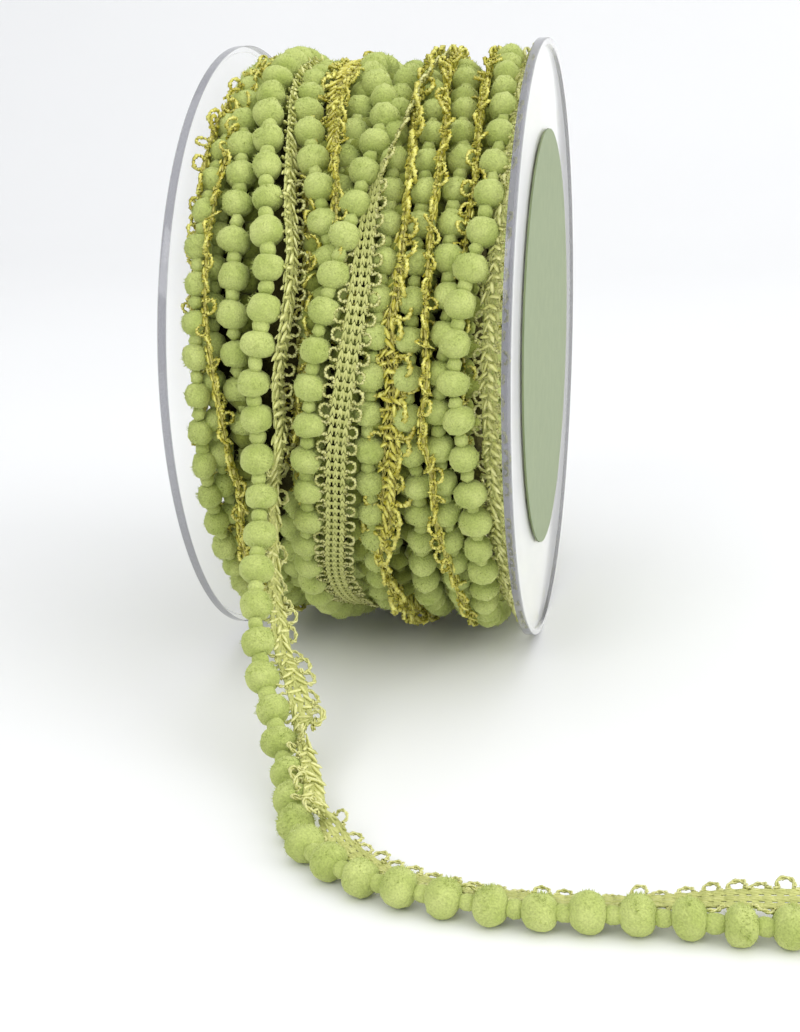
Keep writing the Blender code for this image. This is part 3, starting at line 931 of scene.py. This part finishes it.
# %% [markdown]
# ## Lay the tapes between the turns
# Where a tape shows, it does one of three things. It lies flat and face-on with both looped edges,
# as in the middle of the front. It stands on edge between two turns, so that only its cord peeks
# out like twisted gold string. Or it dips down beside its own pompoms and leaves a dark valley. So
# each tape row has places and radii like a turn, a lean, how far its loops stray in degrees, the
# size of its loops, and how it shows: neat, or crumpled with its cord gold or pale. On a crumpled
# tape the cord's floats show over the band.

# %% List the tapes
TAPES = (
    dict(name="by_left_flange", at={100: -21.4, 64: -22.0, 57: -22.6, 48: -23.2, 36: -23.4, -60: -22.8,
                                    180: -22.8},
         radius={100: 45.6, 64: 46.6, 50: 46.6, 36: 44.8, 20: 43.0, -60: 43.0, 180: 44.6},
         lean={0: 80}, crumple=50, size=1.1),
    dict(name="after_a", at={90: -19.0, 60: -20.0, 45: -20.4, 22: -21.0, 10: -20.4, 0: -19.1, -12: -18.1,
                             -21: -17.3, -32: -18.8, -60: -18.6, 180: -19.4},
         radius={0: 46.2}, lean={0: 64}, crumple=48, size=1.1),
    dict(name="in_left_valley", at={90: -12.4, 58: -9.0, 46: -7.5, 37: -6.3, 26: -5.8, 10: -5.6, -6: -7.4,
                                    -30: -8.6, -60: -9.0, 180: -10.0},
         radius={0: 43.8}, lean={0: 60}, crumple=46, size=1.1),
    dict(name="after_c", at={115: -7.0, 89: -5.9, 75: -5.4, 54: -3.9, 43: -2.4, 30: -1.4, 8: 0.4, -30: 0.0,
                             -90: -3.0, 180: -4.8},
         radius={89: 47.6, 60: 47.4, 43: 46.8, 25: 45.0, 10: 43.2, -60: 43.6, -90: 45.6, 180: 46.4},
         lean={89: 8, 70: 16, 56: 40, 43: 62, 10: 30, -90: 50, 180: 50}, crumple=36, size=1.1),
    dict(name="after_d", at={120: 6.4, 89: 8.8, 72: 8.4, 62: 7.8, 52: 6.8, 44: 5.0, 37: 4.3, 15: 3.1, 2: 1.3,
                             -8: -0.1, -25: -1.9, -45: -4.4, -62: -4.0, -90: -0.6, 180: 3.0},
         radius={89: 46.6, 60: 47.0, 40: 47.2, 15: 47.7, -45: 47.6, -90: 46.2, 180: 46.2},
         lean={89: 62, 60: 66, 44: 56, 33: 30, 20: 6, 0: 0, -60: 0, -90: 20, 180: 40}, crumple=8, size=1.0,
         shows="neat"),
    dict(name="after_e", at={90: 7.6, 54: 8.5, 37: 9.2, 19: 8.5, 9: 7.4, 1: 8.6, -7: 8.0, -16: 7.2, -26: 5.8,
                             -36: 3.4, -44: 4.0, -60: 5.0, -80: 6.6, 180: 7.0},
         radius={0: 46.6, -40: 47.0, -90: 46.0, 180: 46.2},
         lean={90: 74, 30: 60, 5: 24, -20: 34, -40: 60, 180: 70}, crumple=24, size=1.45),
    dict(name="after_f", at={90: 11.0, 72: 11.6, 54: 13.6, 33: 13.5, 12: 13.3, 3: 13.6, -6: 12.6, -13: 13.7,
                             -25: 13.9, -32: 14.6, -46: 15.5, -60: 15.6, -90: 13.6, 180: 11.6},
         radius={90: 46.8, 45: 47.0, 0: 47.0, -45: 47.2, -90: 46.0, 180: 46.2}, lean={0: 80}, crumple=46,
         size=1.15),
    dict(name="after_g", at={89: 17.2, 74: 18.1, 56: 18.7, 42: 19.2, 30: 18.4, 22: 18.0, 0: 18.6, -60: 17.4,
                             -90: 16.4, 180: 16.8},
         radius={90: 46.6, 46: 46.8, 30: 45.2, 10: 43.6, -50: 44.0, -90: 45.6, 180: 46.2},
         lean={0: 78}, crumple=44, size=1.1),
    dict(name="after_h", at={90: 23.2, 45: 23.5, 28: 23.3, 3: 22.8, -17: 23.1, -60: 23.4, 180: 23.2},
         radius={0: 47.0}, lean={90: 66, 40: 50, 0: 34, -30: 44, -90: 66, 180: 66}, crumple=20, size=1.02,
         shows="pale"),
)
LOOP_REACH = 1.9
WIDEST_REACH = 2.2
SPREAD_PER_CRUMPLE = 1 / 300


def tape_pieces(name, run, crumple, size, shows="gold", tilt=0.0, edges=(-1, 1)):
    """The stitched band and the looped edges along a run, as two pieces. shows: neat, pale or gold."""
    grain = GRAIN if shows == "neat" else PLAIN_GRAIN
    stitches = chain_stitches(run, tape_lengths(run, STITCH_PITCH), grain)
    band = joined_mesh(f"tape_{name}", *stitches, gold_thread if shows == "gold" else tape_thread)
    at_loops = tape_lengths(run, LOOP_PITCH)
    spread = crumple * SPREAD_PER_CRUMPLE
    cords = [
        edge_loops(run, at_loops, edge, tilt=tilt, tip=crumple, spread=spread, size=size) for edge in edges
    ]
    if shows != "neat":
        cords.append(gimp_floats(run, tape_lengths(run, STITCH_PITCH)))
    return band, joined_mesh(f"loops_{name}", *together(cords), gold_cord_painted_glints if shows == "gold" else pale_cord)


# %% Lay them
for row in TAPES:
    back_lean = round_curve(row["lean"], [180.0])[0]
    reach = min((TAPE_HALF + LOOP_REACH) * math.cos(math.radians(back_lean)), WIDEST_REACH)
    run = drum_run(kept_inside(row["at"], reach), row["radius"], WHOLE_TURN)
    leant = beside(run, 0.0, 0.0, round_curve(row["lean"], WHOLE_TURN))
    shows = row.get("shows", "gold")
    for piece in tape_pieces(row["name"], leant, row["crumple"], row["size"], shows):
        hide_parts("wound_trim")
print(len(TAPES), "tapes round the drum")

# %% Lay the top turn's own tape
TOP_TAPE_SHIFT = 3.35
TOP_TAPE_RISE = -1.1
TOP_TAPE_LEAN = -73.0
TOP_LOOPS_TILT = 48.0
on_top_tape = beside(on_top_run, TOP_TAPE_SHIFT, TOP_TAPE_RISE, TOP_TAPE_LEAN)
top_pieces = tape_pieces("of_top_turn", on_top_tape, 26, 1.02, "pale", TOP_LOOPS_TILT, edges=(1,))
for piece in top_pieces:
    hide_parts("wound_trim")
print("top turn's tape faces:", [len(piece.data.polygons) for piece in top_pieces])

# %% [markdown]
# ## The loose end
# Here the trim shows everything that it is, so it gets the finest shapes: rounder balls with a
# dense pile, and loops of two plies twisted round each other. The tape starts exactly where the top
# turn's tape stops, and eases from there to its own course, so that no seam shows. Above the bend
# it hangs crumpled, at the bend it is folded lengthwise over the pompoms, and on the table it lies
# nearly flat. The fold is a few rows of numbers: where along the rows of the route it is, how far
# it leans, how high it rises and how far it shifts towards the pompoms.
#
# The tape is the one piece of cloth that hangs free, so a thin ribbon with two columns of holes
# runs through its stitches. A sheet can't be declared narrower than 10 mm, and the ribbon is only 3
# mm wide.

# %% Hang the loose end's pompoms
LOOSE_BULGE = 0.03
LOOSE_TIPS_EACH = 260
loose_count = int(LOOSE_LENGTH / POMPOM_PITCH)
loose_chain, (spots, frames) = pompom_chain(
    loose_run, 0.5 * POMPOM_PITCH, loose_count, detail=3, bulge=LOOSE_BULGE
)
loose_pompoms = joined_mesh("loose_pompom_chain", *loose_chain, velvet)
loose_tips = joined_mesh("loose_pile_tips", *pile_tips(spots, frames, LOOSE_TIPS_EACH), velvet, smooth=False)
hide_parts(*(f"loose_pompoms_{number}" for number in range(1, 5)))
print(loose_count, "loose pompoms")

# %% Fold and lay its tape
FOLD_ROWS = (6.3, 6.8, 7.3, 7.8, 8.4, 10.2, 10.8, 11.4)
FOLD_LEANS = (0.0, 20.0, 95.0, 150.0, 156.0, 156.0, 90.0, 0.0)
FOLD_RISES = (0.0, 0.3, 1.2, 1.5, 1.5, 1.5, 1.0, 0.0)
FOLD_SHIFTS = (4.4, 4.3, 3.3, 2.9, 2.9, 2.9, 3.4, 4.4)
EASES_OVER = 8.0
LOWEST_TAPE = 0.45
row_along = np.arange(len(loose_points)) / ROW_STEPS
fold_lean, fold_rise, fold_shift = (
    np.interp(row_along, FOLD_ROWS, values) for values in (FOLD_LEANS, FOLD_RISES, FOLD_SHIFTS)
)
folded = beside(loose_run, fold_shift, fold_rise, fold_lean)
ease = np.clip(1 - loose_run["lengths"] / EASES_OVER, 0, 1)[:, None]
ease = ease * ease * (3 - 2 * ease)
still_wound = loose_run["points"] + on_top_tape["points"][-1] - on_top_run["points"][-1]
tape_points = ease * still_wound + (1 - ease) * folded["points"]
tape_points[:, 2] = np.maximum(tape_points[:, 2], LOWEST_TAPE)
tape_across = ease * on_top_tape["across"][-1] + (1 - ease) * folded["across"]
loose_tape_run = run_from(tape_points, tape_across)

# %% Stitch it and edge it
LIES_FROM_ROW = 11.0
INNER_LOOPS_FROM_ROW = 0.5
UNFOLDED = (6.8, 11.2)
FINE_CORD = dict(bends=16, plies=2)
at_stitches = np.concatenate([[0.0], tape_lengths(loose_tape_run, STITCH_PITCH)])
stitches = chain_stitches(loose_tape_run, at_stitches)
loose_stitches = joined_mesh("loose_tape_stitches", *stitches, tape_thread)
at_loops = tape_lengths(loose_tape_run, LOOP_PITCH)
row_at_loops = np.interp(at_loops, loose_tape_run["lengths"], row_along)
hanging, lying = at_loops[row_at_loops < LIES_FROM_ROW], at_loops[row_at_loops >= LIES_FROM_ROW]
outside_fold = (row_at_loops < UNFOLDED[0]) | (row_at_loops > UNFOLDED[1])
off_the_fold = at_loops[(row_at_loops > INNER_LOOPS_FROM_ROW) & outside_fold]
loose_cords = [
    edge_loops(loose_tape_run, hanging, 1, **FINE_CORD, tip=34, spread=0.1, size=1.2),
    gimp_floats(loose_tape_run, at_stitches[at_stitches < hanging[-1]], plump=0.8, grain=GRAIN),
    edge_loops(loose_tape_run, lying, 1, **FINE_CORD, tip=12),
    edge_loops(loose_tape_run, off_the_fold, -1, **FINE_CORD, tip=20),
]
loose_loops = joined_mesh("loose_tape_loops", *together(loose_cords), pale_cord)
print(len(hanging), "loops hang and", len(lying), "lie on the table")

# %% Run a ribbon through it
RIBBON_HALF = 1.5
RIBBON_THICK = 0.2
COLUMN_EDGES = (-RIBBON_HALF, -0.69, -0.43, 0.43, 0.69, RIBBON_HALF)
HOLE_COLUMNS = (1, 3)
HALF_BAR = 0.4
RIGHT_ROUND = ((0, 0), (0, 1), (1, 1), (1, 0))
NEIGHBOURS = ((-1, 0), (0, 1), (1, 0), (0, -1))


def ribbon(run):
    """A closed thin strip along a run, with two columns of holes through it."""
    lengths = tape_lengths(run, STITCH_PITCH)
    rows = np.sort(np.concatenate([lengths - HALF_BAR, lengths + HALF_BAR]))
    spots, frames = stations(run, rows)
    points = []
    for face in (-RIBBON_THICK / 2, RIBBON_THICK / 2):
        for place in COLUMN_EDGES:
            points.append(spots + frames[:, 1] * place + frames[:, 2] * face)
    points = np.stack(points, 1).reshape(-1, 3)
    wide = len(COLUMN_EDGES)

    def filled(row, column):
        inside = 0 <= row < len(rows) - 1 and 0 <= column < wide - 1
        return inside and not (row % 2 and column in HOLE_COLUMNS)

    faces = []
    for row in range(len(rows) - 1):
        for column in range(wide - 1):
            if not filled(row, column):
                continue
            low = [(row + a) * 2 * wide + column + b for a, b in RIGHT_ROUND]
            high = [corner + wide for corner in low]
            faces += [low, high[::-1]]
            for side, (a, b) in enumerate(NEIGHBOURS):
                if not filled(row + a, column + b):
                    i, j = low[side], low[(side + 1) % 4]
                    faces.append([j, i, i + wide, j + wide])
    return points, np.array(faces)


loose_ribbon = joined_mesh("loose_tape_ribbon", *ribbon(loose_tape_run), tape_thread)
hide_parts("loose_tape")

# %% [markdown]
# ## The clear spool
# A moulded polystyrene flange is a thin plate with a raised rim. Clear plastic shows mostly at its
# edges: face-on it is a faint film, and at a low angle it mirrors the room. So the plate is a lathe
# shape with rounded rim corners, and its material lets light straight through by an amount that
# depends on the angle of the surface. Where little gets through, the plate's near-white colour is a
# painted reflection of the white room, on top of its real gloss. The rim's band and corners are
# painted dark grey, as painted shade for the dark lines that a clear moulding shows there, so they
# get finishes of their own. The label is plain card.


# %% Mix the plastic and the card
PAINTED_FROM_FACING, FULLY_PAINTED_FACING = 0.70, 0.95


# Where less light gets through, the base colour shows: a painted reflection on the plate, painted shade on
# the rim.
def clear_finish(name, colour, facing, grazing):
    """Clear plastic that lets straight through less and less light as its surface turns away."""
    made, tree, shader = finish_nodes(name)
    shader.inputs["Base Color"].default_value = (*colour, 1.0)
    shader.inputs["Roughness"].default_value = 0.08
    shader.inputs["Specular IOR Level"].default_value = 0.7
    weight = add_node(tree, "ShaderNodeLayerWeight", Blend=0.5)
    alpha = add_node(tree, "ShaderNodeMapRange", From_Min=PAINTED_FROM_FACING, From_Max=FULLY_PAINTED_FACING)
    alpha.inputs["To Min"].default_value = facing
    alpha.inputs["To Max"].default_value = grazing
    tree.links.new(weight.outputs["Facing"], alpha.inputs["Value"])
    tree.links.new(alpha.outputs["Result"], shader.inputs["Alpha"])
    return made


def card_finish():
    made, tree, shader = finish_nodes("sage_card")
    dye, _, place = noise_colour(tree, 350.0, 4.0, (0.23, 0.285, 0.15), (0.26, 0.315, 0.165))
    tree.links.new(dye.outputs["Color"], shader.inputs["Base Color"])
    fibre = add_node(tree, "ShaderNodeTexNoise", Scale=2500.0, Detail=3.0)
    tree.links.new(place.outputs["Position"], fibre.inputs["Vector"])
    bump_from(tree, fibre.outputs["Fac"], 0.15, 0.00005, shader)
    shader.inputs["Roughness"].default_value = 0.55
    return made


# Painted reflection: the near-white colour that shows at low angles stands for the mirrored white room.
clear_plate_painted_reflection = clear_finish("clear_plate_painted_reflection", (0.97, 0.97, 0.96), facing=0.04, grazing=0.92)
# Painted shade: the rim's band and corners are dark grey for the dark lines a thick clear moulding shows,
# though the plastic is clear.
clear_rim_painted_shade = clear_finish("clear_rim_band_painted_shade", (0.11, 0.11, 0.14), facing=0.72, grazing=0.9)
clear_corner_painted_shade = clear_finish("clear_rim_corner_painted_shade", (0.14, 0.15, 0.15), facing=0.5, grazing=0.8)
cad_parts["label_disc"].material_slots[0].material = card_finish()


# %% Draw and turn an outline
LATHE_STEPS = 200


def rounded(corners, radius, steps):
    """A closed outline with each corner turned into a short arc."""
    outline = []
    for before, corner, after in zip(corners[-1:] + corners[:-1], corners, corners[1:] + corners[:1]):
        b, c, a = (np.array(point, float) for point in (before, corner, after))
        start, end = c + unit(b - c) * radius, c + unit(a - c) * radius
        for share in np.linspace(0, 1, steps):
            outline.append((1 - share) ** 2 * start + 2 * share * (1 - share) * c + share**2 * end)
    return outline


def turned(outline):
    """Points and faces of an outline of (x, radius) turned about the spool's axis."""
    angle = math.tau * np.arange(LATHE_STEPS) / LATHE_STEPS
    rings = []
    for x, radius in outline:
        z = np.maximum(AXIS_HEIGHT - radius * np.cos(angle), 0.0)
        rings.append(np.stack([np.full(LATHE_STEPS, x), radius * np.sin(angle), z], 1))
    return np.concatenate(rings), tube_faces(len(rings), LATHE_STEPS)


# %% Turn the flanges
WALL = 0.9
RIM_WIDTH = 1.1
CORNER = 0.14
CORNER_POINTS = 4
HUB_R = 0.05
PLATE_MARGIN = 0.5
SHARP_FROM = math.radians(40)
PLATE, RIM_BAND, RIM_CORNER = range(3)
BEFORE_CORNERS = [PLATE, PLATE]
BAND_OF_CORNER = [RIM_CORNER] * (CORNER_POINTS - 1)
strip_finishes = BEFORE_CORNERS + BAND_OF_CORNER + [RIM_BAND] + BAND_OF_CORNER
for name, side in (("left", -1), ("right", 1)):
    inner, wall, rim = (side * (HALF_INSIDE + depth) for depth in (0.0, WALL, RIM_DEPTH))
    corners = [(inner, FLANGE_R), (rim, FLANGE_R), (rim, FLANGE_R - RIM_WIDTH), (wall, FLANGE_R - RIM_WIDTH)]
    inner_plate = [(inner, HUB_R), (inner, FLANGE_R - PLATE_MARGIN)]
    outer_plate = [(wall, FLANGE_R - RIM_WIDTH - PLATE_MARGIN), (wall, HUB_R)]
    outline = inner_plate + rounded(corners, CORNER, CORNER_POINTS) + outer_plate
    points, faces = turned(outline)
    if side < 0:
        faces = faces[:, ::-1]
    flange = joined_mesh(f"{name}_flange", points, faces, clear_plate_painted_reflection)
    flange.data.materials.append(clear_rim_painted_shade)
    flange.data.materials.append(clear_corner_painted_shade)
    finishes = np.zeros(len(faces), dtype=np.int32)
    for strip, finish in enumerate(strip_finishes):
        finishes[strip * 2 * LATHE_STEPS : (strip + 1) * 2 * LATHE_STEPS] = finish
    flange.data.polygons.foreach_set("material_index", finishes)
    flange.data.set_sharp_from_angle(angle=SHARP_FROM)
    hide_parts(f"flange_{name}")
print("finish of each strip of a flange:", strip_finishes)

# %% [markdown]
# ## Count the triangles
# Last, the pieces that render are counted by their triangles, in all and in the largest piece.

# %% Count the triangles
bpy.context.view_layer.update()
pieces = [thing for thing in bpy.data.objects if thing.type == "MESH" and not thing.hide_render]
triangles = {thing.name: sum(len(face.vertices) - 2 for face in thing.data.polygons) for thing in pieces}
print("triangles:", sum(triangles.values()), "in all, most in", max(triangles, key=triangles.get))
